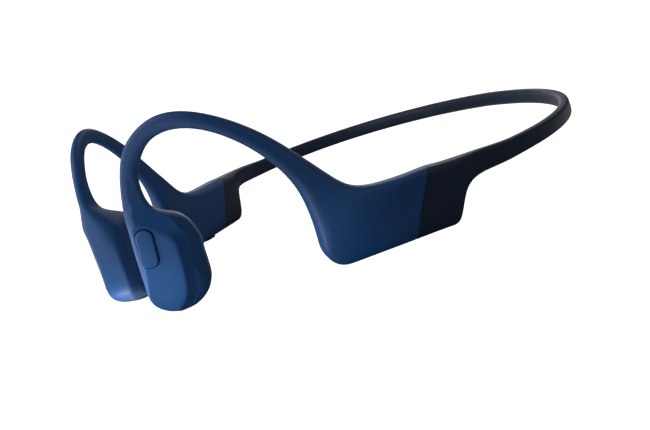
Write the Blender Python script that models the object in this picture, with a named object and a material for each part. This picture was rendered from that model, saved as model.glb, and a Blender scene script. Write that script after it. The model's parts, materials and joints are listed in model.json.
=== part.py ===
"""Bone conduction headphones, lying as they rest on a table.

+X is the wearer's front, +Y the wearer's left and +Z up. Two arms, each with a transducer pod, an
ear hook and a module behind the ear, are joined by a springy neckband. Sizes are in millimetres
and turn into metres where a mesh is made.
"""

import bmesh
import bpy
import numpy as np
from mathutils import Vector

MM = 0.001
LEFT, RIGHT = 1, -1

# An arm is a row of sections along a station line that runs from the pod's bottom, over the ear
# hook and the module, to the neckband. Each rail is (station, forward, up).
FRONT_RAIL = [
    (0, 70.2, 2.3), (8, 68.7, 7.3), (16, 68.2, 17.3), (24, 67.9, 24.7), (32, 68.0, 31.7),
    (40, 66.2, 40.1), (50, 62.5, 47.7), (60, 55.9, 51.6), (70, 48.2, 49.3), (82, 38.9, 41.0),
    (94, 32.3, 32.0), (104, 27.4, 24.6), (112, 22.8, 19.3), (120, 15.8, 17.6), (135.5, 5.7, 17.5),
    (144, 1.9, 17.2), (156, -8.1, 16.95),
]
REAR_RAIL = [
    (0, 56.8, -1.6), (8, 53.4, 5.7), (16, 53.0, 13.9), (23, 53.2, 18.5), (28, 56.0, 24.8),
    (33, 61.5, 28.6), (38, 63.1, 34.6), (46, 61.6, 41.2), (54, 58.6, 45.6), (61, 55.0, 47),
    (70, 49.9, 45.5), (82, 43.0, 39.2), (94, 37.4, 30.1), (103, 34.8, 21.1), (111, 34.8, 10.8),
    (116, 34.8, 5.2), (120, 32.4, 1.9), (125, 27.6, 0.95), (135.5, 13.5, 1.0), (142.5, 5.1, 1.1),
    (146.5, 2.5, 2.4), (150.5, -0.4, 8.3), (153, -3.1, 10.6), (157, -8.6, 11.3),
]
LATERAL = [
    (0, 17.5), (12, 17.6), (24, 19.1), (38, 20.0), (46, 22.0), (56, 27.2), (70, 37.1),
    (82, 44.3), (97, 50.1), (112, 53.8), (126, 58.2), (141, 64.5), (150, 68.0), (157, 70.7),
]
YAW = [
    (0, -27.5), (24, -29), (40, -39), (60, -33), (85, -30), (108, -17), (118, -21.5), (128, -26),
    (143, -22.5), (151, -15), (157, 7.5),
]
HALF_THICKNESS = [
    (0, 5.75), (23.6, 5.7), (24.6, 5.55), (29, 3.8), (33, 2.15), (38, 1.7), (60, 1.66), (85, 1.6),
    (98, 2.4), (108, 3.45), (116, 4.2), (126, 4.55), (146, 4.3), (150, 3.4), (154, 2.25), (158, 2.0),
]
SQUARENESS = [(0, 3), (24, 3), (34, 2.2), (90, 2.2), (110, 3), (125, 4), (148, 4), (158, 3)]
POD_SHAPE = [(0, 1), (20, 1), (33, 0)]
POD_BOTTOM = 9.0
SEAM = 135.5
SEAM_GAP = 0.4
ARM_SIDES, BAND_SIDES = 22, 16

# The pod's section: a flat outer face, a flank that slopes to the rear edge, a flat cheek face.
POD_OUTLINE = [
    (1.0, 0.0), (1.0, 0.45), (0.95, 0.7), (0.78, 0.88), (-0.3, 1.0), (-0.42, 0.93), (-0.98, 0.2),
    (-1.0, -0.3), (-0.98, -0.8), (-0.8, -1.0), (0.88, -1.0), (1.0, -0.82),
]

# How much squarer than the rest of the section each of the module's corners is.
OUTER_CORNERS = [(30, 1), (100, 1), (118, 1.8), (150, 1.8), (166, 1.3)]
INNER_TOP_CORNER = [(30, 1), (100, 1), (118, 0.85), (150, 0.85), (158, 1)]
INNER_BOTTOM_CORNER = [(30, 1), (100, 1), (118, 1.4), (150, 1.4), (158, 1)]

# The neckband in plan is a quarter superellipse on each side, from its widest point to the back.
BAND_START = 166.5
BAND_X, BAND_DEPTH, BAND_HALF_WIDTH, BAND_POWER = -16.6, 52.7, 71.6, 2.11
BAND_SIDE_Z, BAND_BACK_Z = 13.9, 15.0
BAND_HALF_HEIGHT, BAND_HALF_THICKNESS = 2.2, 1.5
BAND_FLARE, FLARE_RUN = 0.3, 12.0
PIVOT_Y = 38.0
PIVOT_GAP = 1.7

# What runs inside: a springy wire and a signal lead share one slot. Each is name, radius, rise
# along the rib, sides and look.
SLOT = (1.25, 0.78)
RUNS = [("wire", 0.42, 0.5, 6, "titanium"), ("lead", 0.22, -0.68, 5, "copper")]
HOOK_SLOT = (21.0, 119.0)
BAND_SLOT_START = 140.0
CLEARANCE = 0.3

# The pod, in its own frame: forward, outward, up, from its centre.
POD_CENTRE, POD_YAW = (60.8, 18.2, 12.0), -28.0
POD_WALL = 1.3
POD_CHAMBER = (5.5, 23.5)
PAD = (10.8, 1.8, 14.2)
PAD_CORNER = 2.5
PAD_OUT = -5.2
PAD_HOLE = (-8, -3)

# The motor behind the pad, from the pad outwards.
LEAF_MARGIN, LEAF_CORNER, LEAF = (0.6, 0.8), 1.8, 0.3
COIL, COIL_CORNER, COIL_DEPTH, COIL_WALL = (5.8, 8.6), 1.6, 1.7, 0.6
YOKE = (9.6, 4.4, 12.4)
YOKE_CORNER, YOKE_WALL, CUP_CORNER = 1.5, 1.1, 1.0
MAGNET, MAGNET_CORNER, MAGNET_DEPTH = (3.8, 6.6), 0.5, 1.5
PLATE_GAP = 0.1

# The module behind the ear, in its own frame.
MODULE_CENTRE, MODULE_YAW = (15.6, 59.4, 9.1), -24.5
CHAMBER = (24.2, 6.4, 11.8)
CHAMBER_CORNER = 0.35
CASE_WALL = 0.6
CASE_CORNER, CASE_HOLLOW_CORNER = 1.0, 0.8
CELL, CELL_CORNER, CELL_DEPTH, CELL_FORWARD = (19.0, 9.2), 0.8, 4.0, -1.4
GUARD, GUARD_DEPTH, GUARD_FORWARD = (1.0, 8.6), 3.6, 9.6

# The right module's boards: outline, corner, middle and the reach outwards.
BOARD = ((21.0, 7.2), 0.6, (0, 1.2), (-1.4, -0.8))
SHIELD = ((8.0, 6.0), 0.4, (-1.0, 1.2), (-0.5, 0.7))
ANTENNA = ((1.6, 6.0), 0.2, (7.6, 1.6), (-0.5, 0.3))

# The button and what it presses, outwards from the pod's centre.
BUTTON = (4.7, 10.6)
BUTTON_CENTRE, BUTTON_TILT = (4.5, 7.6), 7.5
BUTTON_GAP = 0.25
BUTTON_LOW, BUTTON_TOP = 4.6, 6.25
BUTTON_HOLE = (3.5, 8)
SWITCH_CLEARANCE = 0.4
SWITCH, SWITCH_CORNER, SWITCH_DEPTH, SWITCH_CENTRE = (3.0, 4.0), 0.3, 1.2, (3.6, 7.0)
BUTTON_BOARD = ((5.0, 8.0), 0.6, (3.0, 5.5), (2.1, 2.7))

# The volume keys, upwards from the module's centre.
KEY, KEY_CORNER, KEY_GAP = (5.8, 4.2), 1.6, 0.25
KEY_FORWARD = {"volume_up_key": 9.6, "volume_down_key": 3.3}
UNDERSIDE = -8.15
KEY_PROUD = 0.75
KEY_TOP = -6.5
KEY_POST, KEY_BORE, KEY_POST_TOP = 0.45, 0.9, -4.5
KEY_SWITCH, KEY_SWITCH_CORNER, KEY_SWITCH_HEIGHT = (3.0, 2.4), 0.2, 1.2
SKIN_HOLE, CASE_HOLE = (-10, -5.7), (-7, -4)

# Under the dark part of the right module.
PORT, PORT_CORNER, PORT_GAP = (6.4, 4.4), 0.8, 0.25
PORT_FORWARD, PORT_TOP = -7.2, -6.1
PORT_INSET = 0.1
CONTACT, CONTACT_BORE, CONTACT_SPACING, CONTACT_INSET = 0.7, 1.0, 3.0, 0.15
CONTACT_HOLE = (-9, -5)
PORT_MAGNET, MAGNET_SPREAD, MAGNET_REACH = (2.0, 3.2), 2.4, (-4.7, -3.4)
LIGHT_FORWARD, LIGHT, LIGHT_BORE, LIGHT_TOP = -1.2, 0.55, 0.8, -6.0

# Behind the module's outer wall, each with a sound hole through it.
MICROPHONES = {"microphone_front": (9.5, 1.5), "microphone_rear": (-9.0, 2.5)}
MICROPHONE, MICROPHONE_REACH = (2.6, 1.8), (1.1, 2.0)
SOUND_HOLE, SOUND_HOLE_REACH = 0.5, (2.1, 7)
SMALL_CORNER = 0.2


def spline(knots, at):
    """A natural cubic through (station, value) knots."""
    k, v = np.array(knots, float).T
    h = np.diff(k)
    system, right = np.eye(len(k)), np.zeros(len(k))
    for i in range(1, len(k) - 1):
        system[i, i - 1:i + 2] = h[i - 1], 2 * (h[i - 1] + h[i]), h[i]
        right[i] = 6 * ((v[i + 1] - v[i]) / h[i] - (v[i] - v[i - 1]) / h[i - 1])
    bend = np.linalg.solve(system, right)
    i = np.clip(np.searchsorted(k, at) - 1, 0, len(k) - 2)
    b = (at - k[i]) / h[i]
    a = 1 - b
    return a * v[i] + b * v[i + 1] + ((a**3 - a) * bend[i] + (b**3 - b) * bend[i + 1]) * h[i]**2 / 6


def ramp(knots, at):
    """A curve through the knots that never swings past them."""
    k, v = np.array(knots, float).T
    h = np.diff(k)
    rise = np.diff(v) / h
    slope = np.r_[rise[0], np.zeros(len(k) - 2), rise[-1]]
    for i in range(1, len(k) - 1):
        if rise[i - 1] * rise[i] > 0:
            slope[i] = 2 / (1 / rise[i - 1] + 1 / rise[i])
    i = np.clip(np.searchsorted(k, at) - 1, 0, len(k) - 2)
    u = np.clip((at - k[i]) / h[i], 0, 1)
    return (
        (2 * u**3 - 3 * u**2 + 1) * v[i] + (u**3 - 2 * u**2 + u) * h[i] * slope[i]
        + (3 * u**2 - 2 * u**3) * v[i + 1] + (u**3 - u**2) * h[i] * slope[i + 1]
    )


def band_curve():
    """Arc length, x, y and yaw of the neckband's centre line, from its widest point to the back."""
    turn = np.linspace(0, np.pi / 2, 600)[1:]
    x = BAND_X - BAND_DEPTH * np.sin(turn) ** (2 / BAND_POWER)
    y = BAND_HALF_WIDTH * np.cos(turn) ** (2 / BAND_POWER)
    y[-1] = 0
    length = np.r_[0, np.cumsum(np.hypot(np.diff(x), np.diff(y)))]
    even = np.linspace(0, length[-1], 200)
    x, y = np.interp(even, length, x), np.interp(even, length, y)
    yaw = np.degrees(np.arctan2(-np.gradient(y), -np.gradient(x)))
    yaw[-1] = 90
    return even, x, y, yaw


BAND = band_curve()
BAND_LENGTH = BAND[0][-1]
BACK = BAND_START + BAND_LENGTH
PIVOT_STATION = BAND_START + float(np.interp(-PIVOT_Y, -BAND[2], BAND[0]))
PIVOT_X = float(np.interp(-PIVOT_Y, -BAND[2], BAND[1]))


def band_values(run):
    """x, y, height and yaw at this arc length along the neckband."""
    x, y, yaw = (np.interp(run, BAND[0], values) for values in BAND[1:])
    return x, y, BAND_SIDE_Z + (BAND_BACK_Z - BAND_SIDE_Z) * run / BAND_LENGTH, yaw


def band_half_height(run):
    """Half the neckband's height, which flares a little towards the modules."""
    return BAND_HALF_HEIGHT + BAND_FLARE * np.exp(-np.maximum(run, 0) / FLARE_RUN)


def sections(stations):
    """Centre, half vector along the rib, outward vector, squareness and pod share at each station."""
    s = np.asarray(stations, float)
    joined = [(BAND_START + run, *band_values(run)) for run in (0.0, 7.0, 18.0)]

    def rail(knots, edge):
        ends = [(at, x, z + edge * band_half_height(at - BAND_START)) for at, x, _, z, _ in joined]
        points = knots + ends
        return [spline([(p[0], p[i]) for p in points], s) for i in (1, 2)]

    front, rear = rail(FRONT_RAIL, 1), rail(REAR_RAIL, -1)
    y = spline(LATERAL + [(at, y) for at, _, y, _, _ in joined], s)
    yaw = ramp(YAW + [(at, yaw) for at, _, _, _, yaw in joined], s)
    half = ramp(HALF_THICKNESS + [(BAND_START, BAND_HALF_THICKNESS)], s)
    bx, by, bz, byaw = band_values(s - BAND_START)
    on_band = s > BAND_START
    tall = band_half_height(s - BAND_START)
    front = [np.where(on_band, bx, front[0]), np.where(on_band, bz + tall, front[1])]
    rear = [np.where(on_band, bx, rear[0]), np.where(on_band, bz - tall, rear[1])]
    y, yaw = np.where(on_band, by, y), np.radians(np.where(on_band, byaw, yaw))
    half = np.where(on_band, BAND_HALF_THICKNESS, half)
    closing = np.sqrt(np.clip(1 - (1 - np.minimum(s / POD_BOTTOM, 1)) ** 2, 0, 1))
    dx, dz = (front[0] - rear[0]) / 2 * closing, (front[1] - rear[1]) / 2 * closing
    lean = np.tan(np.where(on_band, 0, yaw))
    centre = np.stack([(front[0] + rear[0]) / 2, y, (front[1] + rear[1]) / 2], 1)
    rib = np.stack([dx, dx * lean, dz], 1)
    outward = np.stack([-np.sin(yaw), np.cos(yaw), 0 * yaw], 1) * (half * closing**0.6)[:, None]
    return centre, rib, outward, ramp(SQUARENESS, s), ramp(POD_SHAPE, s)


def rounded(outline, times=2):
    """Cuts a closed outline's corners off, more finely each time."""
    points = np.array(outline, float)
    for _ in range(times):
        onward = np.roll(points, -1, 0)
        points = np.stack([points * 0.8 + onward * 0.2, points * 0.2 + onward * 0.8], 1).reshape(-1, 2)
    return points / np.abs(points).max(0)


def pod_radius(angles):
    """How far the pod's section reaches at each angle, in half sizes."""
    corners = rounded(POD_OUTLINE)
    dense = np.concatenate([np.linspace(a, b, 12, endpoint=False)
                            for a, b in zip(corners, np.roll(corners, -1, 0))])
    turn = np.arctan2(dense[:, 1], dense[:, 0]) % (2 * np.pi)
    order = np.argsort(turn)
    return np.interp(angles, turn[order], np.hypot(*dense.T)[order], period=2 * np.pi)


def skin_rings(stations, count, wall=0.0):
    """The arm's outer surface at these stations, or a surface this far inside it."""
    centre, rib, outward, square, pod = sections(stations)
    turn = np.linspace(0, 2 * np.pi, count, endpoint=False) + np.pi / count
    c, s = np.cos(turn)[None], np.sin(turn)[None]
    outer, top, bottom = (ramp(knots, stations)[:, None]
                          for knots in (OUTER_CORNERS, INNER_TOP_CORNER, INNER_BOTTOM_CORNER))
    power = 2 / (square[:, None] * np.where(s > 0, outer, np.where(c > 0, top, bottom)))
    u = np.sign(c) * np.abs(c) ** power
    v = np.sign(s) * np.abs(s) ** power
    radius = pod_radius(turn)[None]
    u = u * (1 - pod[:, None]) + radius * c * pod[:, None]
    v = v * (1 - pod[:, None]) + radius * s * pod[:, None]
    u = u * (1 - wall / np.linalg.norm(rib, axis=1))[:, None]
    v = v * (1 - wall / np.linalg.norm(outward, axis=1))[:, None]
    return centre[:, None] + u[..., None] * rib[:, None] + v[..., None] * outward[:, None]


def tube_rings(stations, half_rib, half_out, rise=0.0, count=8):
    """An oval tube that follows the arm's centre line, shifted along the rib by rise."""
    centre, rib, outward, _, _ = sections(stations)
    rib = rib / np.linalg.norm(rib, axis=1)[:, None]
    outward = outward / np.linalg.norm(outward, axis=1)[:, None]
    turn = np.linspace(0, 2 * np.pi, count, endpoint=False)
    u = rise + half_rib * np.cos(turn)[None, :, None]
    v = half_out * np.sin(turn)[None, :, None]
    return centre[:, None] + u * rib[:, None] + v * outward[:, None]


def across_back(make, start, step):
    """Rings for a piece that runs across the back, from this station on the left to its mirror."""
    left = make(stations_between(start, BACK, step))
    return np.concatenate([left, (left[::-1] * [1, -1, 1])[1:]])


def mesh_object(name, bm, material, side=LEFT, centre=(0, 0, 0), yaw=0.0, parent=None):
    """Adds a bmesh in millimetres as an object, mirrored to the other side where it belongs there."""
    if side == RIGHT:
        bmesh.ops.scale(bm, vec=(1, -1, 1), verts=bm.verts)
    bmesh.ops.scale(bm, vec=(MM, MM, MM), verts=bm.verts)
    bmesh.ops.recalc_face_normals(bm, faces=bm.faces)
    mesh = bpy.data.meshes.new(name)
    bm.to_mesh(mesh)
    bm.free()
    obj = bpy.data.objects.new(name, mesh)
    bpy.context.scene.collection.objects.link(obj)
    mesh.materials.append(material)
    obj.location = Vector((centre[0], centre[1] * side, centre[2])) * MM
    obj.rotation_euler = (0, 0, np.radians(yaw) * side)
    if parent:
        obj.parent = parent
        obj.location -= parent.location
    mesh.shade_smooth()
    mesh.set_sharp_from_angle(angle=np.radians(40))
    return obj


def loft(rings):
    """A closed body through the rings, with flat ends."""
    bm = bmesh.new()
    rows = [[bm.verts.new(p) for p in ring] for ring in rings]
    for a, b in zip(rows, rows[1:]):
        for i in range(len(a)):
            j = (i + 1) % len(a)
            bm.faces.new((a[i], a[j], b[j], b[i]))
    bm.faces.new(rows[0][::-1])
    bm.faces.new(rows[-1])
    return bm


def prism(outline, low, high, along="z"):
    """An outline pushed from low to high along an axis of the piece's own frame."""
    bm = bmesh.new()
    order = {"z": (0, 1, 2), "y": (0, 2, 1), "x": (2, 0, 1)}[along]
    rows = []
    for end in (low, high):
        points = [(a, b, end) for a, b in outline]
        rows.append([bm.verts.new([p[i] for i in order]) for p in points])
    for i in range(len(outline)):
        j = (i + 1) % len(outline)
        bm.faces.new((rows[0][i], rows[0][j], rows[1][j], rows[1][i]))
    bm.faces.new(rows[0][::-1])
    bm.faces.new(rows[1])
    return bm


def slab(size, corner, steps=3, centre=(0, 0), turn=0.0):
    """A rectangle's outline with round corners; a corner of half the width makes a pill."""
    half = np.array(size) / 2 - corner
    points = []
    for k, (a, b) in enumerate([(1, 1), (-1, 1), (-1, -1), (1, -1)]):
        for angle in np.radians(np.linspace(90 * k, 90 * k + 90, steps + 1)):
            points.append((a * half[0] + corner * np.cos(angle), b * half[1] + corner * np.sin(angle)))
    c, s = np.cos(np.radians(turn)), np.sin(np.radians(turn))
    points = np.array(points) @ np.array([[c, s], [-s, c]]) + centre
    kept = [p for i, p in enumerate(points) if np.hypot(*(p - points[i - 1])) > 1e-4]
    return [tuple(p) for p in kept]


def disc(radius, centre=(0, 0), count=16):
    """A circle's outline."""
    turn = np.linspace(0, 2 * np.pi, count, endpoint=False)
    return [(centre[0] + radius * np.cos(a), centre[1] + radius * np.sin(a)) for a in turn]


def cut(obj, cutters):
    """Takes each cutter out of the object. Cutters are guides and never show."""
    for cutter in cutters:
        cutter.hide_render = True
        cutter.display_type = "WIRE"
        modifier = obj.modifiers.new(cutter.name, "BOOLEAN")
        modifier.operation = "DIFFERENCE"
        modifier.object = cutter
    return obj


def fuse(obj, other):
    """Joins another body onto the object."""
    other.hide_render = True
    other.display_type = "WIRE"
    modifier = obj.modifiers.new(other.name, "BOOLEAN")
    modifier.operation = "UNION"
    modifier.object = other


def material(name, colour, roughness, metallic=0.0):
    made = bpy.data.materials.new(name)
    made.use_nodes = True
    shader = made.node_tree.nodes["Principled BSDF"]
    shader.inputs["Base Color"].default_value = (*colour, 1)
    shader.inputs["Roughness"].default_value = roughness
    shader.inputs["Metallic"].default_value = metallic
    return made


def make_materials():
    return {
        "blue_silicone": material("blue_silicone", (0.022, 0.055, 0.13), 0.5),
        "dark_silicone": material("dark_silicone", (0.008, 0.011, 0.018), 0.5),
        "black_plastic": material("black_plastic", (0.02, 0.02, 0.022), 0.4),
        "titanium": material("titanium", (0.42, 0.41, 0.4), 0.35, 1),
        "steel": material("steel", (0.5, 0.5, 0.52), 0.3, 1),
        "nickel": material("nickel", (0.6, 0.58, 0.54), 0.25, 1),
        "copper": material("copper", (0.6, 0.28, 0.14), 0.3, 1),
        "gold": material("gold", (0.8, 0.58, 0.25), 0.25, 1),
        "circuit_board": material("circuit_board", (0.01, 0.08, 0.04), 0.5),
        "cell_foil": material("cell_foil", (0.45, 0.46, 0.5), 0.3, 1),
        "clear_plastic": material("clear_plastic", (0.7, 0.72, 0.75), 0.2),
    }


def stations_between(start, end, step):
    return np.linspace(start, end, int(np.ceil(abs(end - start) / step)) + 1)


def make_pivot(side):
    name = "left_band_pivot" if side == LEFT else "right_band_pivot"
    pivot = bpy.data.objects.new(name, None)
    bpy.context.scene.collection.objects.link(pivot)
    pivot.location = Vector((PIVOT_X, PIVOT_Y * side, 0)) * MM
    return pivot


class Arm:
    """One side: it names, places and mirrors its pieces, and parents them to its pivot."""

    def __init__(self, side, materials):
        self.side, self.materials = side, materials
        self.prefix = "left_" if side == LEFT else "right_"
        self.pivot = make_pivot(side)

    def add(self, name, bm, look, prefix, centre=(0, 0, 0), yaw=0.0):
        name = (self.prefix if prefix is None else prefix) + name
        return mesh_object(name, bm, self.materials[look], self.side, centre, yaw, self.pivot)

    def along(self, name, bm, look, prefix=None):
        """A piece whose points are already in place along the arm."""
        return self.add(name, bm, look, prefix)

    def in_pod(self, name, bm, look, prefix=None):
        """A piece in the pod's own frame: forward, outward, up."""
        return self.add(name, bm, look, prefix, POD_CENTRE, POD_YAW)

    def in_module(self, name, bm, look, prefix=None):
        """A piece in the module's own frame."""
        return self.add(name, bm, look, prefix, MODULE_CENTRE, MODULE_YAW)


def arm_skin(arm, cutters):
    """The soft over-mould of the pod, the hook and the front of the module."""
    bottom = POD_BOTTOM * (1 - np.cos(np.radians([14, 32, 48, 62, 76])))
    stations = np.r_[bottom, stations_between(POD_BOTTOM, SEAM - SEAM_GAP / 2, 4.0)]
    skin = arm.along("arm_skin", loft(skin_rings(stations, ARM_SIDES)), "blue_silicone")
    return cut(skin, cutters)


def band_skin(arm, cutters):
    """The dark over-mould of the module's rear and the neckband's side."""
    end = PIVOT_STATION - PIVOT_GAP / 2
    stations = np.r_[
        stations_between(SEAM + SEAM_GAP / 2, 158, 2.0), stations_between(162, end, 6.0)
    ]
    skin = arm.along("band_skin", loft(skin_rings(stations, BAND_SIDES)), "dark_silicone")
    return cut(skin, cutters)


def pod_chamber(arm):
    rings = skin_rings(stations_between(*POD_CHAMBER, 3.6), ARM_SIDES, POD_WALL)
    return arm.along("pod_chamber", loft(rings), "blue_silicone")


def pad_opening(arm):
    outline = slab((PAD[0] + 2 * CLEARANCE, PAD[2] + 2 * CLEARANCE), PAD_CORNER + CLEARANCE)
    return arm.in_pod("pad_opening", prism(outline, *PAD_HOLE, "y"), "blue_silicone")


def slot(arm, name, stations):
    return arm.along(name, loft(tube_rings(stations, *SLOT)), "blue_silicone")


def module_chamber(arm):
    body = prism(slab(CHAMBER[:2], CHAMBER_CORNER), *about(0, CHAMBER[2]))
    return arm.in_module("module_chamber", body, "blue_silicone")


def wire_and_lead(arm, place, stations):
    """The titanium wire that springs and the lead that runs beside it, along one stretch."""
    for name, radius, rise, count, look in RUNS:
        rings = tube_rings(stations, radius, radius, rise, count)
        arm.along(f"{place}_{name}", loft(rings), look)


def transducer(arm):
    """The pad that meets the cheek, and the motor behind it that shakes it."""
    pad = slab((PAD[0], PAD[2]), PAD_CORNER)
    arm.in_pod("contact_pad", prism(pad, *about(PAD_OUT, PAD[1]), "y"), "blue_silicone")
    leaf_low = PAD_OUT + PAD[1] / 2 + CLEARANCE
    leaf = slab((YOKE[0] + LEAF_MARGIN[0], YOKE[2] + LEAF_MARGIN[1]), LEAF_CORNER)
    arm.in_pod("leaf_spring", prism(leaf, leaf_low, leaf_low + LEAF, "y"), "steel")
    low = leaf_low + LEAF + CLEARANCE
    base = low + YOKE[1]
    coil = arm.in_pod("voice_coil", prism(slab(COIL, COIL_CORNER), low, low + COIL_DEPTH, "y"), "copper")
    inside = slab(np.array(COIL) - 2 * COIL_WALL, COIL_CORNER - COIL_WALL)
    cut(coil, [arm.in_pod("coil_bore", prism(inside, low - 1, base, "y"), "copper")])
    yoke = prism(slab((YOKE[0], YOKE[2]), YOKE_CORNER), low, base, "y")
    cup = slab((YOKE[0] - 2 * YOKE_WALL, YOKE[2] - 2 * YOKE_WALL), CUP_CORNER)
    hollow = arm.in_pod("yoke_hollow", prism(cup, low - 1, base - YOKE_WALL, "y"), "nickel")
    cut(arm.in_pod("driver_yoke", yoke, "nickel"), [hollow])
    magnet_top = base - YOKE_WALL - CLEARANCE
    magnet_low = magnet_top - MAGNET_DEPTH
    outline = slab(MAGNET, MAGNET_CORNER)
    arm.in_pod("driver_magnet", prism(outline, magnet_low, magnet_top, "y"), "nickel")
    plate = prism(outline, low + PLATE_GAP, magnet_low - CLEARANCE, "y")
    arm.in_pod("top_plate", plate, "steel")


def about(middle, size):
    """The low and the high end of this size round its middle."""
    return middle - size / 2, middle + size / 2


def flat(outline, corner, middle, reach):
    """A flat piece that lies along the arm: its outline, and how far outwards it starts and ends."""
    return prism(slab(outline, corner, centre=middle), *reach, "y")


def module_case(arm, holes):
    """The hard case inside the module, in two half shells that meet on its middle plane."""
    outer = np.array(CHAMBER) - 2 * CLEARANCE
    inner = outer - 2 * CASE_WALL
    shells = {
        "case_outer": ((CLEARANCE / 2, outer[1] / 2), (-1, inner[1] / 2)),
        "case_inner": ((-outer[1] / 2, -CLEARANCE / 2), (-inner[1] / 2, 1)),
    }
    for name, (ends, hollow_ends) in shells.items():
        shell = prism(slab((outer[0], outer[2]), CASE_CORNER), *ends, "y")
        hollow = prism(slab((inner[0], inner[2]), CASE_HOLLOW_CORNER), *hollow_ends, "y")
        cutter = arm.in_module(name + "_hollow", hollow, "black_plastic")
        cut(arm.in_module(name, shell, "black_plastic"), [cutter, *holes])


def common_pieces(arm, pod_holes=(), skin_holes=(), band_holes=(), case_holes=()):
    """Every piece that both sides have, with the holes that only this side needs."""
    chamber = module_chamber(arm)
    hook_run = stations_between(*HOOK_SLOT, 4.0)
    hook_slot = slot(arm, "hook_slot", hook_run)
    band_run = stations_between(BAND_SLOT_START, PIVOT_STATION - PIVOT_GAP / 2, 5.0)
    band_slot = slot(arm, "band_slot", np.r_[band_run, PIVOT_STATION + 1])
    arm_skin(arm, [pod_chamber(arm), pad_opening(arm), hook_slot, chamber, *pod_holes, *skin_holes])
    band_skin(arm, [chamber, band_slot, *band_holes])
    wire_and_lead(arm, "hook", hook_run[:-1])
    wire_and_lead(arm, "band", band_run[1:])
    transducer(arm)
    module_case(arm, case_holes)


def left_side(materials):
    """The pod's button, and the cell that feeds both sides."""
    arm = Arm(LEFT, materials)
    place = dict(steps=5, centre=BUTTON_CENTRE, turn=BUTTON_TILT)
    opening = slab(np.array(BUTTON) + 2 * BUTTON_GAP, BUTTON[0] / 2 + BUTTON_GAP, **place)
    hole = arm.in_pod("button_hole", prism(opening, *BUTTON_HOLE, "y"), "blue_silicone")
    common_pieces(arm, pod_holes=[hole])
    cap = prism(slab(BUTTON, BUTTON[0] / 2, **place), BUTTON_LOW, BUTTON_TOP, "y")
    arm.in_pod("multifunction_button", cap, "blue_silicone", "")
    top = BUTTON_LOW - SWITCH_CLEARANCE
    switch = flat(SWITCH, SWITCH_CORNER, SWITCH_CENTRE, (top - SWITCH_DEPTH, top))
    arm.in_pod("multifunction_switch", switch, "black_plastic", "")
    arm.in_pod("multifunction_board", flat(*BUTTON_BOARD), "circuit_board", "")
    cell = flat(CELL, CELL_CORNER, (CELL_FORWARD, 0), about(0, CELL_DEPTH))
    arm.in_module("battery_cell", cell, "cell_foil", "")
    guard = flat(GUARD, SMALL_CORNER, (GUARD_FORWARD, 0), about(0, GUARD_DEPTH))
    arm.in_module("battery_protection_board", guard, "circuit_board", "")


def volume_key(arm, name, forward):
    """A key under the module with a post that reaches its switch; gives the holes it runs in."""
    spot = (forward, 0)
    pad = prism(slab(KEY, KEY_CORNER, centre=spot), UNDERSIDE - KEY_PROUD, KEY_TOP)
    key = arm.in_module(name, pad, "black_plastic", "")
    post = prism(disc(KEY_POST, spot, 10), KEY_TOP - 0.5, KEY_POST_TOP)
    fuse(key, arm.in_module(name + "_post", post, "black_plastic", ""))
    low = KEY_POST_TOP + SWITCH_CLEARANCE
    switch = prism(slab(KEY_SWITCH, KEY_SWITCH_CORNER, centre=spot), low, low + KEY_SWITCH_HEIGHT)
    arm.in_module(name.replace("key", "switch"), switch, "black_plastic", "")
    opening = prism(slab(np.array(KEY) + 2 * KEY_GAP, KEY_CORNER + KEY_GAP, centre=spot), *SKIN_HOLE)
    bore = prism(disc(KEY_BORE, spot, 10), *CASE_HOLE)
    return (
        arm.in_module(name + "_opening", opening, "black_plastic", ""),
        arm.in_module(name + "_bore", bore, "black_plastic", ""),
    )


def charging_port(arm):
    """The block that the magnetic charging plug snaps to; gives the opening it sits in."""
    middle = (PORT_FORWARD, 0)
    block = prism(slab(PORT, PORT_CORNER, centre=middle), UNDERSIDE + PORT_INSET, PORT_TOP)
    port = arm.in_module("charging_port", block, "black_plastic", "")
    bores = []
    for name, way in (("front", 1), ("rear", -1)):
        spot = (PORT_FORWARD + way * CONTACT_SPACING / 2, 0)
        contact = prism(disc(CONTACT, spot, 12), UNDERSIDE + CONTACT_INSET, PORT_TOP)
        arm.in_module("charging_contact_" + name, contact, "gold", "")
        bore = prism(disc(CONTACT_BORE, spot, 12), *CONTACT_HOLE)
        bores.append(arm.in_module("contact_bore_" + name, bore, "gold", ""))
        above = (PORT_FORWARD + way * MAGNET_SPREAD, 0)
        magnet = prism(slab(PORT_MAGNET, SMALL_CORNER, centre=above), *MAGNET_REACH)
        arm.in_module("charging_magnet_" + name, magnet, "nickel", "")
    cut(port, bores)
    opening = slab(np.array(PORT) + 2 * PORT_GAP, PORT_CORNER + PORT_GAP, centre=middle)
    return arm.in_module("port_opening", prism(opening, *SKIN_HOLE), "black_plastic", "")


def microphone(arm, name, spot):
    """A microphone behind the outer wall; gives the sound hole in front of it."""
    arm.in_module(name, flat(MICROPHONE, SMALL_CORNER, spot, MICROPHONE_REACH), "steel", "")
    hole = prism(disc(SOUND_HOLE, spot, 8), *SOUND_HOLE_REACH, "y")
    return arm.in_module(name + "_sound_hole", hole, "steel", "")


def status_light(arm):
    """The light pipe under the module; gives the hole it sits in."""
    spot = (LIGHT_FORWARD, 0)
    pipe = prism(disc(LIGHT, spot, 10), UNDERSIDE + PORT_INSET, LIGHT_TOP)
    arm.in_module("status_light_pipe", pipe, "clear_plastic", "")
    return arm.in_module("light_hole", prism(disc(LIGHT_BORE, spot, 10), *SKIN_HOLE), "clear_plastic", "")


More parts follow.
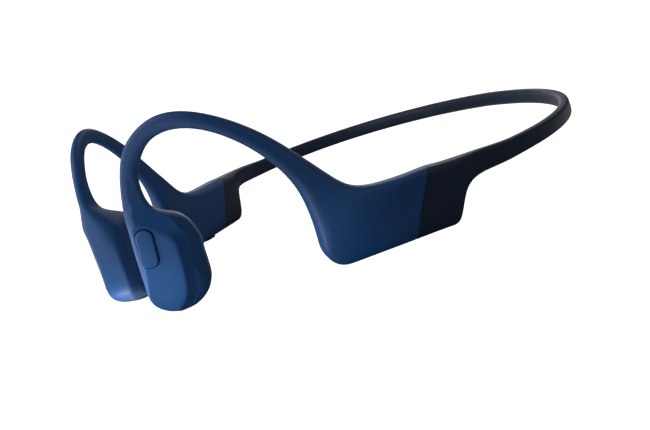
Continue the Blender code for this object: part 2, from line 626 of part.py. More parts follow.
def right_side(materials):
    """The electronics, the volume keys and the charging port."""
    arm = Arm(RIGHT, materials)
    keys = [volume_key(arm, name, forward) for name, forward in KEY_FORWARD.items()]
    sound = [microphone(arm, name, spot) for name, spot in MICROPHONES.items()]
    common_pieces(
        arm,
        skin_holes=[hole for hole, _ in keys] + [sound[0], status_light(arm)],
        band_holes=[charging_port(arm), sound[1]],
        case_holes=[hole for _, hole in keys] + sound,
    )
    arm.in_module("main_board", flat(*BOARD), "circuit_board", "")
    arm.in_module("processor_shield", flat(*SHIELD), "steel", "")
    arm.in_module("antenna_chip", flat(*ANTENNA), "clear_plastic", "")


def neckband_middle(materials):
    """The back of the neckband, which both arms swing on."""
    start = PIVOT_STATION + PIVOT_GAP / 2
    skin = loft(across_back(lambda s: skin_rings(s, BAND_SIDES), start, 6.0))
    skin = mesh_object("neckband_skin_middle", skin, materials["dark_silicone"])
    hollow = loft(across_back(lambda s: tube_rings(s, *SLOT), PIVOT_STATION - 1, 6.0))
    cut(skin, [mesh_object("middle_slot", hollow, materials["dark_silicone"])])
    for name, radius, rise, count, look in RUNS:
        rings = across_back(lambda s: tube_rings(s, radius, radius, rise, count), start, 6.0)
        mesh_object(f"neckband_{name}_middle", loft(rings), materials[look])


def main():
    for obj in list(bpy.data.objects):
        bpy.data.objects.remove(obj)
    materials = make_materials()
    neckband_middle(materials)
    left_side(materials)
    right_side(materials)


main()
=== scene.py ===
"""Bone conduction headphones: the finished surfaces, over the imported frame.

Sizes are in millimetres in the frame's own axes: +X the wearer's front, +Y the wearer's left,
+Z up. They turn into metres where a mesh is made.
"""

import json

import bmesh
import bpy
import numpy as np
from mathutils import Matrix, Vector


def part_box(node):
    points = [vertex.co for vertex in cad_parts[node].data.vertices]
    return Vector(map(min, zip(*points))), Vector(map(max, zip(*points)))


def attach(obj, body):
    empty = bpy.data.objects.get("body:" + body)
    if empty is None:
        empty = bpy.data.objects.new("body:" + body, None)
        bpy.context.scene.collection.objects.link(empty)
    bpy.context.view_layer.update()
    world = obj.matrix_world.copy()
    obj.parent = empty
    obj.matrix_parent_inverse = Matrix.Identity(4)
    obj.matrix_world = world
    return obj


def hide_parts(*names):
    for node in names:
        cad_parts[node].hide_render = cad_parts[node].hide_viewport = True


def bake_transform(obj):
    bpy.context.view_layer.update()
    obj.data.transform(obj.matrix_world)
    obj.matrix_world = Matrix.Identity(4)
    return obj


MM = 0.001
LEFT, RIGHT = 1, -1
SIDE_NAME = {LEFT: "left", RIGHT: "right"}

# The same rails as the CAD model: (station, forward, up) from the pod's bottom to the neckband.
FRONT_RAIL = [
    (0, 70.2, 2.3), (8, 68.7, 7.3), (16, 68.2, 17.3), (24, 67.9, 24.7), (32, 68.0, 31.7),
    (40, 66.2, 40.1), (50, 62.5, 47.7), (60, 55.9, 51.6), (70, 48.2, 49.3), (82, 38.9, 41.0),
    (94, 32.3, 32.0), (104, 27.4, 24.6), (112, 22.8, 19.3), (120, 15.8, 17.6), (135.5, 5.7, 17.5),
    (144, 1.9, 17.2), (156, -8.1, 16.95),
]
REAR_RAIL = [
    (0, 56.8, -1.6), (8, 53.4, 5.7), (16, 53.0, 13.9), (23, 53.2, 18.5), (28, 56.0, 24.8),
    (33, 61.5, 28.6), (38, 63.1, 34.6), (46, 61.6, 41.2), (54, 58.6, 45.6), (61, 55.0, 47),
    (70, 49.9, 45.5), (82, 43.0, 39.2), (94, 37.4, 30.1), (103, 34.8, 21.1), (111, 34.8, 10.8),
    (116, 34.8, 5.2), (120, 32.4, 1.9), (125, 27.6, 0.95), (135.5, 13.5, 1.0), (142.5, 5.1, 1.1),
    (146.5, 2.5, 2.4), (150.5, -0.4, 8.3), (153, -3.1, 10.6), (157, -8.6, 11.3),
]
LATERAL = [
    (0, 17.5), (12, 17.6), (24, 19.1), (38, 20.0), (46, 22.0), (56, 27.2), (70, 37.1),
    (82, 44.3), (97, 50.1), (112, 53.8), (126, 58.2), (141, 64.5), (150, 68.0), (157, 70.7),
]
YAW = [
    (0, -27.5), (24, -29), (40, -39), (60, -33), (85, -30), (108, -17), (118, -21.5), (128, -26),
    (143, -22.5), (151, -15), (157, 7.5),
]
HALF_THICKNESS = [
    (0, 5.75), (23.6, 5.7), (24.6, 5.55), (29, 3.8), (33, 2.15), (38, 1.7), (60, 1.66), (85, 1.6),
    (98, 2.4), (108, 3.45), (116, 4.2), (126, 4.55), (146, 4.3), (150, 3.4), (154, 2.25), (158, 2.0),
]
SQUARENESS = [(0, 3), (24, 3), (34, 2.2), (90, 2.2), (110, 3), (125, 4), (148, 4), (158, 3)]
POD_SHAPE = [(0, 1), (20, 1), (33, 0)]
POD_BOTTOM = 9.0
POD_END = 40.0
SEAM = 135.5
SEAM_GROOVE, SEAM_TUCK = 0.12, 0.14
POD_HALF = (9.0, 5.8)
CORNER_STEP = 0.35
POD_CORNERS = [
    (1.0, 0.86, 2.4), (-0.34, 1.0, 0.7), (-1.0, 0.12, 0.8), (-1.0, -0.8, 1.2), (-0.8, -1.0, 1.2),
    (1.0, -1.0, 1.1),
]
INNER_FRONT_SOFT = 5.0
INNER_FRONT_SHARE = [(0, 0), (11, 0), (17, 0.5), (22, 1), (30, 1)]

# The pod's flat outer plateau in its own frame: how far out it lies, as it tilts forward and up,
# and its edge (forward, up), from the front of its top, round the rear corner, to the bottom.
PLATEAU = (4.86, -0.0734, 0.1051)
PLATEAU_EDGE = [
    (8.5, 16.3), (5.5, 15.0), (2.4, 13.3), (0.3, 11.2), (-1.7, 9.4), (-3.0, 7.6), (-3.15, 5.8),
    (-2.9, 2.8), (-2.55, -1.0), (-2.0, -4.7), (-1.2, -7.3), (0.1, -9.4), (2.0, -10.9), (7.0, -13.0),
]
EDGE_ROUND = 0.35
REAR_FALL, TOP_FALL = (1.05, 5.0), (0.62, 2.3)
TOP_FALL_FROM = (7.0, 10.0)
BROW_AT, BROW_RISE, BROW_SPREAD = (3.2, 14.0), 1.1, 2.4
FACING_FROM, FACING_OVER = 1.0, 2.5
PRESS_ROUND = 0.08
OUTER_CORNERS = [(30, 1), (100, 1), (118, 1.8), (150, 1.8), (166, 1.3)]
INNER_TOP_CORNER = [(30, 1), (100, 1), (118, 0.85), (150, 0.85), (158, 1)]
INNER_BOTTOM_CORNER = [(30, 1), (100, 1), (118, 1.4), (150, 1.4), (158, 1)]

BAND_START = 166.5
BAND_X, BAND_DEPTH, BAND_HALF_WIDTH, BAND_POWER = -16.6, 52.7, 71.6, 2.11
BAND_SIDE_Z, BAND_BACK_Z = 13.9, 15.0
BAND_HALF_HEIGHT, BAND_HALF_THICKNESS = 2.2, 1.5
BAND_FLARE, FLARE_RUN = 0.3, 12.0
BAND_JOINS = (0.0, 7.0, 18.0)
RUNS = [("wire", 0.42, 0.5, 12, "titanium"), ("lead", 0.22, -0.68, 10, "copper")]
BAND_RUN_START = 146.0

# How finely the skins are drawn: points round them, and the step between rings, which lie
# closer together up to FINE_TO and further apart from COARSE_FROM.
ARM_POINTS, BAND_POINTS = 150, 72
POD_STEP, ARM_STEP, BAND_STEP, RUN_STEP = 0.4, 0.7, 1.2, 1.5
POD_BOTTOM_RINGS = 36
FINE_TO, COARSE_FROM = 160, 161

# The small pieces and their pockets, each in its pod's or module's own frame.
POD_CENTRE, POD_YAW = (60.8, 18.2, 12.0), -28.0
MODULE_CENTRE, MODULE_YAW = (15.6, 59.4, 9.1), -24.5
BUTTON, BUTTON_CENTRE, BUTTON_TILT = (4.7, 10.6), (4.5, 7.6), 7.5
BUTTON_LOW, BUTTON_PROUD, BUTTON_SOFT = 4.6, 0.62, 0.42
BUTTON_CROWN, BUTTON_LIP, BUTTON_DEPTH = 0.06, 0.1, 0.7
PAD, PAD_CORNER, PAD_SOFT = (10.8, 14.2), 2.5, 0.18
PAD_LOW, PAD_TOP = -5.98, -4.3
PAD_GROOVE, PAD_DEPTH = 0.07, 0.5
PAD_MOUTH, PAD_LIP = -5.75, 0.06
KEY, KEY_CORNER, KEY_SOFT = (5.8, 4.2), 1.6, 0.3
KEY_FORWARD = {"volume_up_key": 9.6, "volume_down_key": 3.3}
KEY_BOTTOM, KEY_TOP = -8.9, -6.5
PORT, PORT_CORNER, PORT_FORWARD = (6.4, 4.4), 0.8, -7.2
KEY_GAP = 0.2
KEY_POCKET, LIGHT_POCKET, MODULE_MOUTH = -6.0, -6.5, -8.15
LIGHT_WIDE, LIGHT_FORWARD = 1.5, -1.2
MICROPHONES = {"microphone_front": (9.5, 1.5), "microphone_rear": (-9.0, 2.5)}
SOUND_HOLE, SOUND_LOW, SOUND_MOUTH = 0.8, 3.2, 4.6
GROOVE = 0.24
# A pill's corner radius is this much less than half its width, so no two of its points meet.
PILL_SHY = 0.001
# How round a pocket's mouth is, and how far its cutter stands out of the surface.
LIP, POCKET_OVER = 0.18, 3
MIN_CORNER = 0.05
CROWN_SHARES = (0.8, 0.55, 0.3, 0.08)
# Degrees beyond which an edge stays sharp, and metres by which hidden parts' edges are eased.
SHARP_ANGLE, CUT_SHARP_ANGLE = 40, 35
EDGE_EASE, EDGE_EASE_SHARE = 0.00012, 0.08

# The camera: millimetres, and the directions that are right and up in its view.
CAMERA_PLACE = (163.3, 300.9, 68.6)
CAMERA_LENS = 63.04
CAMERA_RIGHT = (-0.8028, 0.4981, -0.3278)
CAMERA_UP = (-0.3783, -0.0005, 0.9257)

# All the lights are in metres.
# Softboxes: azimuth from +X, elevation, distance, width, height, watts, and the point each aims at.
# Then narrow spots: azimuth, elevation, the radius each covers, watts, and its aim.
# Then the patches of floor that glow: x, y, size, watts.
# The near side is the wearer's left.
POD_POINT, MIDDLE_POINT = (0.058, 0, 0.02), (0, 0, 0.02)
NEAR_POD, NEAR_BUTTON = (0.0673, 0.0198, 0.008), (0.0700, 0.0192, 0.017)
NEAR_TIP, FAR_POD = (0.0722, 0.0152, 0.003), (0.067, -0.020, 0.004)
NEAR_MODULE = (0.036, 0.050, 0.008)
SPOT_DISTANCE, SPOT_SIZE = 0.4, 0.012
SOFT_LIGHTS = [
    (120, 12, 0.90, 0.45, 0.45, 0.108, MIDDLE_POINT),
    (240, 12, 0.90, 0.45, 0.45, 0.853, MIDDLE_POINT),
    (300, 12, 0.90, 0.45, 0.45, 0.145, MIDDLE_POINT),
    (60, 35, 0.90, 0.45, 0.45, 0.133, MIDDLE_POINT),
    (90, 35, 0.90, 0.45, 0.45, 0.5, MIDDLE_POINT),
    (180, 35, 0.90, 0.45, 0.45, 0.513, MIDDLE_POINT),
    (210, 35, 0.90, 0.45, 0.45, 0.499, MIDDLE_POINT),
    (300, 35, 0.90, 0.45, 0.45, 0.585, MIDDLE_POINT),
    (0, 60, 0.90, 0.45, 0.45, 0.456, MIDDLE_POINT),
    (180, 60, 0.90, 0.45, 0.45, 0.212, MIDDLE_POINT),
    (300, 60, 0.90, 0.45, 0.45, 0.441, MIDDLE_POINT),
    (0, 88, 0.90, 0.45, 0.45, 0.13, MIDDLE_POINT),
    (-120, 4, 0.90, 0.45, 0.10, 0.144, MIDDLE_POINT),
    (-90, 4, 0.90, 0.45, 0.10, 0.339, MIDDLE_POINT),
    (150, 4, 0.90, 0.45, 0.10, 0.116, MIDDLE_POINT),
    (20, 4, 0.25, 0.06, 0.06, 0.058, POD_POINT),
    (-30, 20, 0.25, 0.06, 0.06, 0.1114, POD_POINT),
    (-10, 45, 0.25, 0.06, 0.06, 0.1096, POD_POINT),
    (20, 45, 0.25, 0.06, 0.06, 0.0084, POD_POINT),
]
SPOT_LIGHTS = [
    (-5, 3, 0.015, 1.732, NEAR_POD),
    (-5, 12, 0.015, 7.9, NEAR_POD),
    (10, 3, 0.015, 0.174, NEAR_POD),
    (15, 3, 0.010, 3.0, NEAR_BUTTON),
    (15, 3, 0.010, 5.0, NEAR_TIP),
    (35, 2, 0.012, 0.722, FAR_POD),
    (15, 4, 0.014, 3.72, NEAR_MODULE),
    (45, 4, 0.014, 0.746, NEAR_MODULE),
]
FLOOR_LIGHTS = [
    (0.0722, -0.0125, 0.006, 0.0007),
    (0.180, 0.000, 0.16, 0.0638),
    (0.180, -0.170, 0.16, 0.4284),
    (-0.140, 0.000, 0.16, 0.0311),
    (0.088, 0.042, 0.04, 0.00123),
    (0.075, -0.018, 0.03, 0.0019),
    (0.080, 0.000, 0.03, 0.00177),
]
PATCH_HEIGHT = 0.001
FLOOR_RADIUS, FLOOR_DROP = 6.0, 0.0002
FLOOR_TONES = (0.38, 0.38, 0.38), (0.41, 0.41, 0.41)
FLOOR_WHITE, BACKDROP_WHITE = 1.1, 1.15


# ---------------------------------------------------------------- the shape of an arm

def spline(knots, at):
    """A natural cubic through (station, value) knots."""
    k, v = np.array(knots, float).T
    h = np.diff(k)
    system, right = np.eye(len(k)), np.zeros(len(k))
    for i in range(1, len(k) - 1):
        system[i, i - 1:i + 2] = h[i - 1], 2 * (h[i - 1] + h[i]), h[i]
        right[i] = 6 * ((v[i + 1] - v[i]) / h[i] - (v[i] - v[i - 1]) / h[i - 1])
    bend = np.linalg.solve(system, right)
    i = np.clip(np.searchsorted(k, at) - 1, 0, len(k) - 2)
    b = (at - k[i]) / h[i]
    a = 1 - b
    return a * v[i] + b * v[i + 1] + ((a**3 - a) * bend[i] + (b**3 - b) * bend[i + 1]) * h[i]**2 / 6


def ramp(knots, at):
    """A curve through the knots that never swings past them."""
    k, v = np.array(knots, float).T
    h = np.diff(k)
    rise = np.diff(v) / h
    slope = np.r_[rise[0], np.zeros(len(k) - 2), rise[-1]]
    for i in range(1, len(k) - 1):
        if rise[i - 1] * rise[i] > 0:
            slope[i] = 2 / (1 / rise[i - 1] + 1 / rise[i])
    i = np.clip(np.searchsorted(k, at) - 1, 0, len(k) - 2)
    u = np.clip((at - k[i]) / h[i], 0, 1)
    return (
        (2 * u**3 - 3 * u**2 + 1) * v[i] + (u**3 - 2 * u**2 + u) * h[i] * slope[i]
        + (3 * u**2 - 2 * u**3) * v[i + 1] + (u**3 - u**2) * h[i] * slope[i + 1]
    )


def band_curve():
    """Arc length, x, y and yaw of the neckband's centre line, from its widest point to the back."""
    turn = np.linspace(0, np.pi / 2, 1200)[1:]
    x = BAND_X - BAND_DEPTH * np.sin(turn) ** (2 / BAND_POWER)
    y = BAND_HALF_WIDTH * np.cos(turn) ** (2 / BAND_POWER)
    y[-1] = 0
    length = np.r_[0, np.cumsum(np.hypot(np.diff(x), np.diff(y)))]
    even = np.linspace(0, length[-1], 400)
    x, y = np.interp(even, length, x), np.interp(even, length, y)
    yaw = np.degrees(np.arctan2(-np.gradient(y), -np.gradient(x)))
    yaw[-1] = 90
    return even, x, y, yaw


BAND = band_curve()
BAND_LENGTH = BAND[0][-1]
BACK = BAND_START + BAND_LENGTH


def band_values(run):
    """x, y, height and yaw at this arc length along the neckband."""
    x, y, yaw = (np.interp(run, BAND[0], values) for values in BAND[1:])
    return x, y, BAND_SIDE_Z + (BAND_BACK_Z - BAND_SIDE_Z) * run / BAND_LENGTH, yaw


def band_half_height(run):
    """Half the neckband's height, which flares a little towards the modules."""
    return BAND_HALF_HEIGHT + BAND_FLARE * np.exp(-np.maximum(run, 0) / FLARE_RUN)


def sections(stations):
    """Centre, half vector along the rib, outward vector, squareness and pod share at each station."""
    s = np.asarray(stations, float)
    joined = [(BAND_START + run, *band_values(run)) for run in BAND_JOINS]

    def rail(knots, edge):
        ends = [(at, x, z + edge * band_half_height(at - BAND_START)) for at, x, _, z, _ in joined]
        points = knots + ends
        return [spline([(p[0], p[i]) for p in points], s) for i in (1, 2)]

    front, rear = rail(FRONT_RAIL, 1), rail(REAR_RAIL, -1)
    y = spline(LATERAL + [(at, y) for at, _, y, _, _ in joined], s)
    yaw = ramp(YAW + [(at, yaw) for at, _, _, _, yaw in joined], s)
    half = ramp(HALF_THICKNESS + [(BAND_START, BAND_HALF_THICKNESS)], s)
    bx, by, bz, byaw = band_values(s - BAND_START)
    on_band = s > BAND_START
    tall = band_half_height(s - BAND_START)
    front = [np.where(on_band, bx, front[0]), np.where(on_band, bz + tall, front[1])]
    rear = [np.where(on_band, bx, rear[0]), np.where(on_band, bz - tall, rear[1])]
    y, yaw = np.where(on_band, by, y), np.radians(np.where(on_band, byaw, yaw))
    half = np.where(on_band, BAND_HALF_THICKNESS, half)
    closing = np.sqrt(np.clip(1 - (1 - np.minimum(s / POD_BOTTOM, 1)) ** 2, 0, 1))
    dx, dz = (front[0] - rear[0]) / 2 * closing, (front[1] - rear[1]) / 2 * closing
    slant = np.tan(np.where(on_band, 0, yaw))
    centre = np.stack([(front[0] + rear[0]) / 2, y, (front[1] + rear[1]) / 2], 1)
    rib = np.stack([dx, dx * slant, dz], 1)
    outward = np.stack([-np.sin(yaw), np.cos(yaw), 0 * yaw], 1) * (half * closing**0.6)[:, None]
    return centre, rib, outward, ramp(SQUARENESS, s), ramp(POD_SHAPE, s)


def filleted(corners, scale, steps=8):
    """A closed outline whose corners (u, v, radius) are rounded to true radii, in half sizes."""
    points = np.array([c[:2] for c in corners]) * scale
    outline = []
    for i, (_, _, radius) in enumerate(corners):
        here, before, after = points[i], points[i - 1], points[(i + 1) % len(points)]
        a, b = (end - here for end in (before, after))
        reach = min(np.linalg.norm(a), np.linalg.norm(b)) / 2
        a, b = a / np.linalg.norm(a), b / np.linalg.norm(b)
        half = np.arccos(np.clip(a @ b, -1, 1)) / 2
        tangent = min(radius / np.tan(half), reach)
        middle = here + (a + b) / np.linalg.norm(a + b) * tangent / np.cos(half)
        start, end = here + a * tangent - middle, here + b * tangent - middle
        for share in np.linspace(0, 1, steps + 1):
            arm = start * (1 - share) + end * share
            outline.append(middle + arm / np.linalg.norm(arm) * np.linalg.norm(start))
    return np.array(outline) / scale


def pod_radius(angles, inner_front):
    """How far the pod's section reaches at each angle, in half sizes, with this inner front radius."""
    outline = POD_CORNERS[:-1] + [(*POD_CORNERS[-1][:2], inner_front)]
    corners = filleted(outline, np.array(POD_HALF))
    dense = np.concatenate([np.linspace(a, b, 12, endpoint=False)
                            for a, b in zip(corners, np.roll(corners, -1, 0))])
    turn = np.arctan2(dense[:, 1], dense[:, 0]) % (2 * np.pi)
    order = np.argsort(turn)
    return np.interp(angles, turn[order], np.hypot(*dense.T)[order], period=2 * np.pi)


def turns(count):
    """Angles round a section: even, and closer together at the pod's corners."""
    even = np.linspace(0, 360, count, endpoint=False)
    corners = filleted(POD_CORNERS, np.array(POD_HALF), 6)
    extra = np.degrees(np.arctan2(corners[:, 1], corners[:, 0])) % 360
    turn = np.sort(np.concatenate([even, extra]))
    keep = np.r_[True, np.diff(turn) > CORNER_STEP]
    return np.radians(turn[keep])


def skin_rings(stations, count, wall=0.0):
    """The arm's outer surface at these stations, or a surface this far inside it."""
    centre, rib, outward, square, pod = sections(stations)
    turn = turns(count)
    c, s = np.cos(turn)[None], np.sin(turn)[None]
    outer, top, bottom = (ramp(knots, stations)[:, None]
                          for knots in (OUTER_CORNERS, INNER_TOP_CORNER, INNER_BOTTOM_CORNER))
    power = 2 / (square[:, None] * np.where(s > 0, outer, np.where(c > 0, top, bottom)))
    soft = ramp(INNER_FRONT_SHARE, stations)[:, None]
    radius = pod_radius(turn, POD_CORNERS[-1][2]) * (1 - soft) + pod_radius(turn, INNER_FRONT_SOFT) * soft
    share = pod[:, None]
    u = np.sign(c) * np.abs(c) ** power * (1 - share) + radius * c * share
    v = np.sign(s) * np.abs(s) ** power * (1 - share) + radius * s * share
    wall = np.broadcast_to(wall, len(centre))
    u = u * (1 - wall / np.linalg.norm(rib, axis=1))[:, None]
    v = v * (1 - wall / np.linalg.norm(outward, axis=1))[:, None]
    return centre[:, None] + u[..., None] * rib[:, None] + v[..., None] * outward[:, None]


def plateau_fall(forward, up):
    """How far the pod's outer face has dropped below the plateau at these places."""
    line = np.array(PLATEAU_EDGE)
    # Two rounds of corner cutting smooth the edge.
    for _ in range(2):
        cut = np.stack([line[:-1] * 0.75 + line[1:] * 0.25, line[:-1] * 0.25 + line[1:] * 0.75], 1)
        line = np.concatenate([line[:1], cut.reshape(-1, 2), line[-1:]])
    start, way = line[:-1], np.diff(line, axis=0)
    offset = np.stack([forward, up], -1)[..., None, :] - start
    share = np.clip((offset * way).sum(-1) / (way**2).sum(-1), 0, 1)
    gap = offset - share[..., None] * way
    near = np.hypot(gap[..., 0], gap[..., 1])
    which = near.argmin(-1)[..., None]
    side = np.sign(way[:, 1] * offset[..., 0] - way[:, 0] * offset[..., 1])
    beyond = np.take_along_axis(near * side, which, -1)[..., 0]
    beyond = (beyond + np.hypot(beyond, EDGE_ROUND)) / 2
    top = np.clip((up - TOP_FALL_FROM[0]) / (TOP_FALL_FROM[1] - TOP_FALL_FROM[0]), 0, 1)
    slope, depth = (a + (b - a) * top for a, b in zip(REAR_FALL, TOP_FALL))
    return depth * (1 - np.exp(-slope * beyond / depth))


def plateau_level(forward, up):
    """How far out the plateau lies at this place."""
    return PLATEAU[0] + PLATEAU[1] * forward + PLATEAU[2] * up


def pod_axes():
    """The pod's own forward and outward directions."""
    yaw = np.radians(POD_YAW)
    return np.array([np.cos(yaw), np.sin(yaw), 0]), np.array([-np.sin(yaw), np.cos(yaw), 0])


def flatten_plateau(rings):
    """Fills the pod's brow and presses its outer face down to the plateau and what falls away from it."""
    ahead, out = pod_axes()
    offset = rings - np.array(POD_CENTRE)
    forward, outward, up = offset @ ahead, offset @ out, offset[..., 2]
    facing = np.clip((outward - FACING_FROM) / FACING_OVER, 0, 1)
    brow = np.hypot(forward - BROW_AT[0], up - BROW_AT[1]) / BROW_SPREAD
    raised = outward + BROW_RISE * facing * np.exp(-brow**2 / 2)
    limit = plateau_level(forward, up) - plateau_fall(forward, up)
    over = raised - limit
    pressed = raised - (over + np.hypot(over, PRESS_ROUND)) / 2
    return rings + ((pressed - outward) * facing)[..., None] * out


def tube_rings(stations, radius, rise, count):
    """A round tube that follows the arm's centre line, shifted along the rib by rise."""
    centre, rib, outward, _, _ = sections(stations)
    rib = rib / np.linalg.norm(rib, axis=1)[:, None]
    outward = outward / np.linalg.norm(outward, axis=1)[:, None]
    turn = np.linspace(0, 2 * np.pi, count, endpoint=False)
    u = rise + radius * np.cos(turn)[None, :, None]
    v = radius * np.sin(turn)[None, :, None]
    return centre[:, None] + u * rib[:, None] + v * outward[:, None]


def stations_between(start, end, step):
    return np.linspace(start, end, int(np.ceil(abs(end - start) / step)) + 1)


# ---------------------------------------------------------------- meshes

def local_to_world(points, centre, yaw):
    """Points in a pod's or module's own frame (forward, outward, up), in the frame's axes."""
    c, s = np.cos(np.radians(yaw)), np.sin(np.radians(yaw))
    points = np.asarray(points, float)
    turned = points @ np.array([[c, s, 0], [-s, c, 0], [0, 0, 1]])
    return turned + np.array(centre)


def mesh_object(name, rings, material, side=LEFT, ends=(True, True)):
    """A skin through rings of points in millimetres, mirrored to the other side where asked."""
    bm = bmesh.new()
    rings = np.asarray(rings, float) * (MM, MM * side, MM)
    rows = [[bm.verts.new(p) for p in ring] for ring in rings]
    for a, b in zip(rows, rows[1:]):
        for i in range(len(a)):
            j = (i + 1) % len(a)
            bm.faces.new((a[i], a[j], b[j], b[i]))
    if ends[0]:
        bm.faces.new(rows[0][::-1])
    if ends[1]:
        bm.faces.new(rows[-1])
    bmesh.ops.recalc_face_normals(bm, faces=bm.faces)
    return finish_mesh(name, bm, material)


def finish_mesh(name, bm, material):
    """Makes the object, smooth except at its sharp edges."""
    mesh = bpy.data.meshes.new(name)
    bm.to_mesh(mesh)
    bm.free()
    obj = bpy.data.objects.new(name, mesh)
    bpy.context.scene.collection.objects.link(obj)
    mesh.materials.append(material)
    mesh.shade_smooth()
    mesh.set_sharp_from_angle(angle=np.radians(SHARP_ANGLE))
    return obj


def pill(size, corner, centre=(0, 0), turn=0.0, steps=10):
    """A rectangle's outline with round corners, in its own plane."""
    half = np.array(size) / 2 - corner
    points = []
    for k, (a, b) in enumerate([(1, 1), (-1, 1), (-1, -1), (1, -1)]):
        for angle in np.radians(np.linspace(90 * k, 90 * k + 90, steps + 1)):
            points.append((a * half[0] + corner * np.cos(angle), b * half[1] + corner * np.sin(angle)))
    c, s = np.cos(np.radians(turn)), np.sin(np.radians(turn))
    points = np.array(points) @ np.array([[c, s], [-s, c]]) + centre
    return np.array([p for i, p in enumerate(points) if np.hypot(*(p - points[i - 1])) > 1e-4])


def stack(outlines, levels, along):
    """Outlines at levels along a local axis, as rings of (forward, outward, up) points."""
    order = {"y": [0, 2, 1], "z": [0, 1, 2]}[along]
    return [np.c_[outline, np.full(len(outline), level)][:, order]
            for outline, level in zip(outlines, levels)]


def block_rings(size, corner, low, high, along, centre, yaw, soft, at=(0, 0), turn=0.0, crown=0.0):
    """A rounded block whose edges turn over softly, with a crown on its outer end."""
    outlines, levels = [], []
    up = 1 if high > low else -1

    def inset_by(inset):
        return pill(np.array(size) - 2 * inset, max(corner - inset, MIN_CORNER), at, turn)

    quarter = np.radians(np.linspace(0, 90, 6))
    for edge, way, angles in ((low, up, quarter), (high - crown, -up, quarter[::-1])):
        for angle in angles:
            outlines.append(inset_by(soft * (1 - np.sin(angle))))
            levels.append(edge + way * soft * (1 - np.cos(angle)))
    if crown:
        for share in CROWN_SHARES:
            outlines.append((inset_by(soft) - at) * share + at)
            levels.append(high - crown * share**2)
    return [local_to_world(ring, centre, yaw) for ring in stack(outlines, levels, along)]


def cut(obj, cutters):
    """Takes the cutters out of the object's mesh, and removes them."""
    for cutter in cutters:
        modifier = obj.modifiers.new("cut", "BOOLEAN")
        modifier.operation = "DIFFERENCE"
        modifier.solver = "EXACT"
        modifier.object = cutter
    graph = bpy.context.evaluated_depsgraph_get()
    made = bpy.data.meshes.new_from_object(obj.evaluated_get(graph))
    obj.modifiers.clear()
    obj.data = made
    made.shade_smooth()
    made.set_sharp_from_angle(angle=np.radians(CUT_SHARP_ANGLE))
    for cutter in cutters:
        bpy.data.objects.remove(cutter)


# ---------------------------------------------------------------- materials

def new_material(name):
    """A material, its node tree and its shader."""
    material = bpy.data.materials.new(name)
    material.use_nodes = True
    return material, material.node_tree, material.node_tree.nodes["Principled BSDF"]


def noise(tree, scale, detail=3.0, rough=0.5):
    """Noise over the object's own space, scale in cycles per metre."""
    place = tree.nodes.new("ShaderNodeTexCoord")
    node = tree.nodes.new("ShaderNodeTexNoise")
    node.inputs["Scale"].default_value = scale
    node.inputs["Detail"].default_value = detail
    node.inputs["Roughness"].default_value = rough
    tree.links.new(place.outputs["Object"], node.inputs["Vector"])
    return node.outputs["Fac"]


def between(tree, value, low, high, from_low=0.3, from_high=0.7):
    """A value spread to lie between low and high. Noise mostly lies between 0.3 and 0.7."""
    node = tree.nodes.new("ShaderNodeMapRange")
    tree.links.new(value, node.inputs["Value"])
    ends = {"From Min": from_low, "From Max": from_high, "To Min": low, "To Max": high}
    for name, number in ends.items():
        node.inputs[name].default_value = number
    return node.outputs["Result"]


def two_tone(tree, value, first, second):
    """A colour between two, by a value from 0 to 1."""
    node = tree.nodes.new("ShaderNodeMix")
    node.data_type = "RGBA"
    tree.links.new(value, node.inputs["Factor"])
    node.inputs["A"].default_value = (*first, 1)
    node.inputs["B"].default_value = (*second, 1)
    return node.outputs["Result"]


def bump(tree, shader, height, strength, distance):
    node = tree.nodes.new("ShaderNodeBump")
    node.inputs["Strength"].default_value = strength
    node.inputs["Distance"].default_value = distance
    tree.links.new(height, node.inputs["Height"])
    tree.links.new(node.outputs["Normal"], shader.inputs["Normal"])


def silicone(name, colour, roughness):
    """Matt moulded silicone: a fine eggshell grain, and slow changes of tone where hands polish it."""
    material, tree, shader = new_material(name)
    tone = between(tree, noise(tree, 55, 4), 0, 1)
    lighter = tuple(c * 1.12 for c in colour)
    tree.links.new(two_tone(tree, tone, colour, lighter), shader.inputs["Base Color"])
    rub = between(tree, noise(tree, 140, 5, 0.6), roughness - 0.04, roughness + 0.04)
    tree.links.new(rub, shader.inputs["Roughness"])
    bump(tree, shader, noise(tree, 7000, 2), 0.12, 0.00002)
    return material


def plastic(name, colour, roughness):
    """Moulded plastic with a fine spark-eroded texture."""
    material, tree, shader = new_material(name)
    tone = between(tree, noise(tree, 300, 3), 0, 1)
    lighter = tuple(min(1, c * 1.2 + 0.003) for c in colour)
    tree.links.new(two_tone(tree, tone, colour, lighter), shader.inputs["Base Color"])
    tree.links.new(between(tree, noise(tree, 900, 3), roughness - 0.05, roughness + 0.06),
                   shader.inputs["Roughness"])
    bump(tree, shader, noise(tree, 12000, 2), 0.15, 0.00001)
    return material


def metal(name, colour, roughness, stretch=(1, 1, 1)):
    """Metal with fine drawing or grinding marks."""
    material, tree, shader = new_material(name)
    place = tree.nodes.new("ShaderNodeTexCoord")
    mapping = tree.nodes.new("ShaderNodeMapping")
    mapping.inputs["Scale"].default_value = stretch
    grain = tree.nodes.new("ShaderNodeTexNoise")
    grain.inputs["Scale"].default_value = 4000
    grain.inputs["Detail"].default_value = 4
    tree.links.new(place.outputs["Object"], mapping.inputs["Vector"])
    tree.links.new(mapping.outputs["Vector"], grain.inputs["Vector"])
    darker = tuple(c * 0.82 for c in colour)
    tree.links.new(two_tone(tree, grain.outputs["Fac"], darker, colour), shader.inputs["Base Color"])
    tree.links.new(between(tree, grain.outputs["Fac"], roughness - 0.06, roughness + 0.1),
                   shader.inputs["Roughness"])
    shader.inputs["Metallic"].default_value = 1.0
    return material


